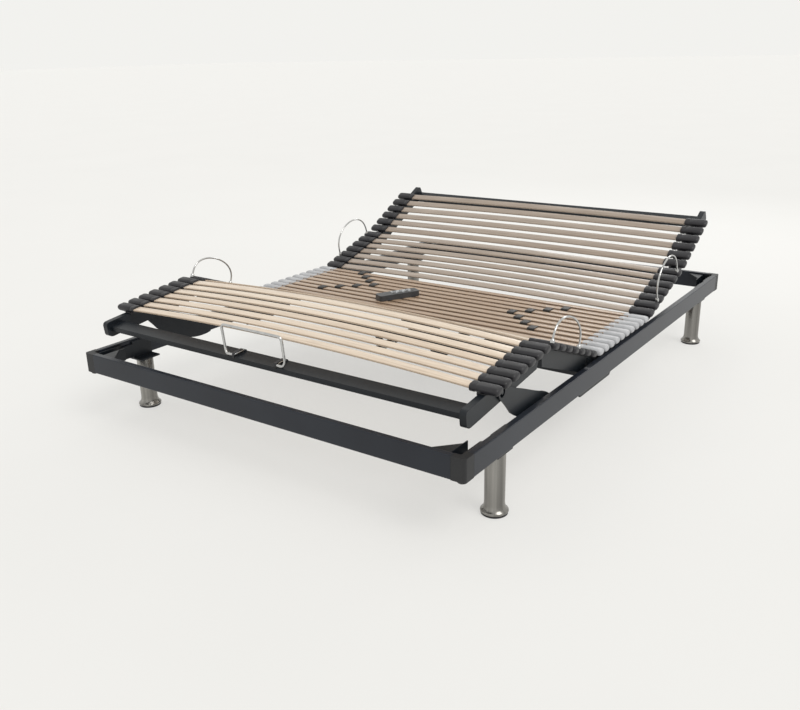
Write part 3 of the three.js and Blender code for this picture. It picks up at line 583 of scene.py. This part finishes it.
for place in ("foot_left", "foot_right", "head_left", "head_right"):
    low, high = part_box(f"leg_{place}")
    centre = ((low[0] + high[0]) / 2, (low[1] + high[1]) / 2)
    top = high[2]
    tube = [(0.0340, 0.0045), (0.0360, 0.0060), (0.0372, 0.0085), (0.0368, 0.0110), (0.0345, 0.0135),
            (0.0310, 0.0170), (0.0285, 0.0220), (0.0272, 0.0290), (0.0270, 0.0360),
            (0.0270, top - 0.0015), (0.0260, top)]
    turned(f"leg_tube_{place}", centre, tube, NICKEL, "base", "satin_nickel", replaces=(f"leg_{place}",))
    pad = [(0.0340, 0.0), (0.0355, 0.0012), (0.0355, 0.0042), (0.0340, 0.0048)]
    turned(f"leg_pad_{place}", centre, pad, RUBBER, "base", "cap_rubber")


# ---- floor, light and camera ----
def studio():
    mesh = bpy.data.meshes.new("floor")
    mesh.from_pydata([(-90, -90, 0), (90, -90, 0), (90, 90, 0), (-90, 90, 0)], [], [(0, 1, 2, 3)])
    floor = bpy.data.objects.new("floor", mesh)
    bpy.context.scene.collection.objects.link(floor)
    m = Nodes("studio_floor")
    cloud = m.noise(m.coords, 1.2)
    m.set(Base_Color=m.ramp(cloud, [(0.3, (0.270, 0.268, 0.261)), (0.7, (0.278, 0.276, 0.269))]))
    m.set(Roughness=0.9)
    m.set(Specular_IOR_Level=0.2, Emission_Color=(1.0, 0.994, 0.968, 1), Emission_Strength=0.53)
    mesh.materials.append(m.material)
    world = bpy.data.worlds.new("studio")
    world.use_nodes = True
    world.node_tree.nodes["Background"].inputs["Color"].default_value = (1.0, 0.995, 0.965, 1)
    world.node_tree.nodes["Background"].inputs["Strength"].default_value = 0.89
    bpy.context.scene.world = world

    def area(name, place, aim, size, power, tint=(1, 1, 1)):
        light = bpy.data.lights.new(name, "AREA")
        light.shape = "RECTANGLE"
        light.size, light.size_y = size
        light.energy = power
        light.color = tint
        obj = bpy.data.objects.new(name, light)
        obj.location = place
        obj.rotation_euler = (Vector(aim) - Vector(place)).to_track_quat("-Z", "Y").to_euler()
        bpy.context.scene.collection.objects.link(obj)

    area("rear", (0.2, 3.6, 2.2), (0, 0.2, 0.3), (3.4, 0.5), 26)
    sun = bpy.data.lights.new("sun", "SUN")
    sun.energy = 1.4
    sun.angle = math.radians(34)
    sun.color = (1, 0.99, 0.97)
    lamp = bpy.data.objects.new("sun", sun)
    lamp.rotation_euler = Vector((-0.62, 0.12, -0.77)).to_track_quat("-Z", "Y").to_euler()
    bpy.context.scene.collection.objects.link(lamp)


def camera():
    yaw, pitch, roll = math.radians(35.42), math.radians(19.52), math.radians(-1.21)
    ahead = Vector((-math.sin(yaw) * math.cos(pitch), math.cos(yaw) * math.cos(pitch), -math.sin(pitch)))
    right = Vector((math.cos(yaw), math.sin(yaw), 0))
    up = right.cross(ahead)
    turned_right = right * math.cos(roll) + up * math.sin(roll)
    turned_up = up * math.cos(roll) - right * math.sin(roll)
    data = bpy.data.cameras.new("camera")
    data.sensor_width = 36
    data.lens = 38.64
    obj = bpy.data.objects.new("camera", data)
    pose = Matrix((turned_right, turned_up, -ahead)).transposed().to_4x4()
    obj.matrix_world = Matrix.Translation((1.6026, -2.5167, 1.1210)) @ pose
    bpy.context.scene.collection.objects.link(obj)
    bpy.context.scene.camera = obj


studio()
camera()
bpy.context.scene.view_settings.view_transform = "Standard"

bpy.context.view_layer.update()
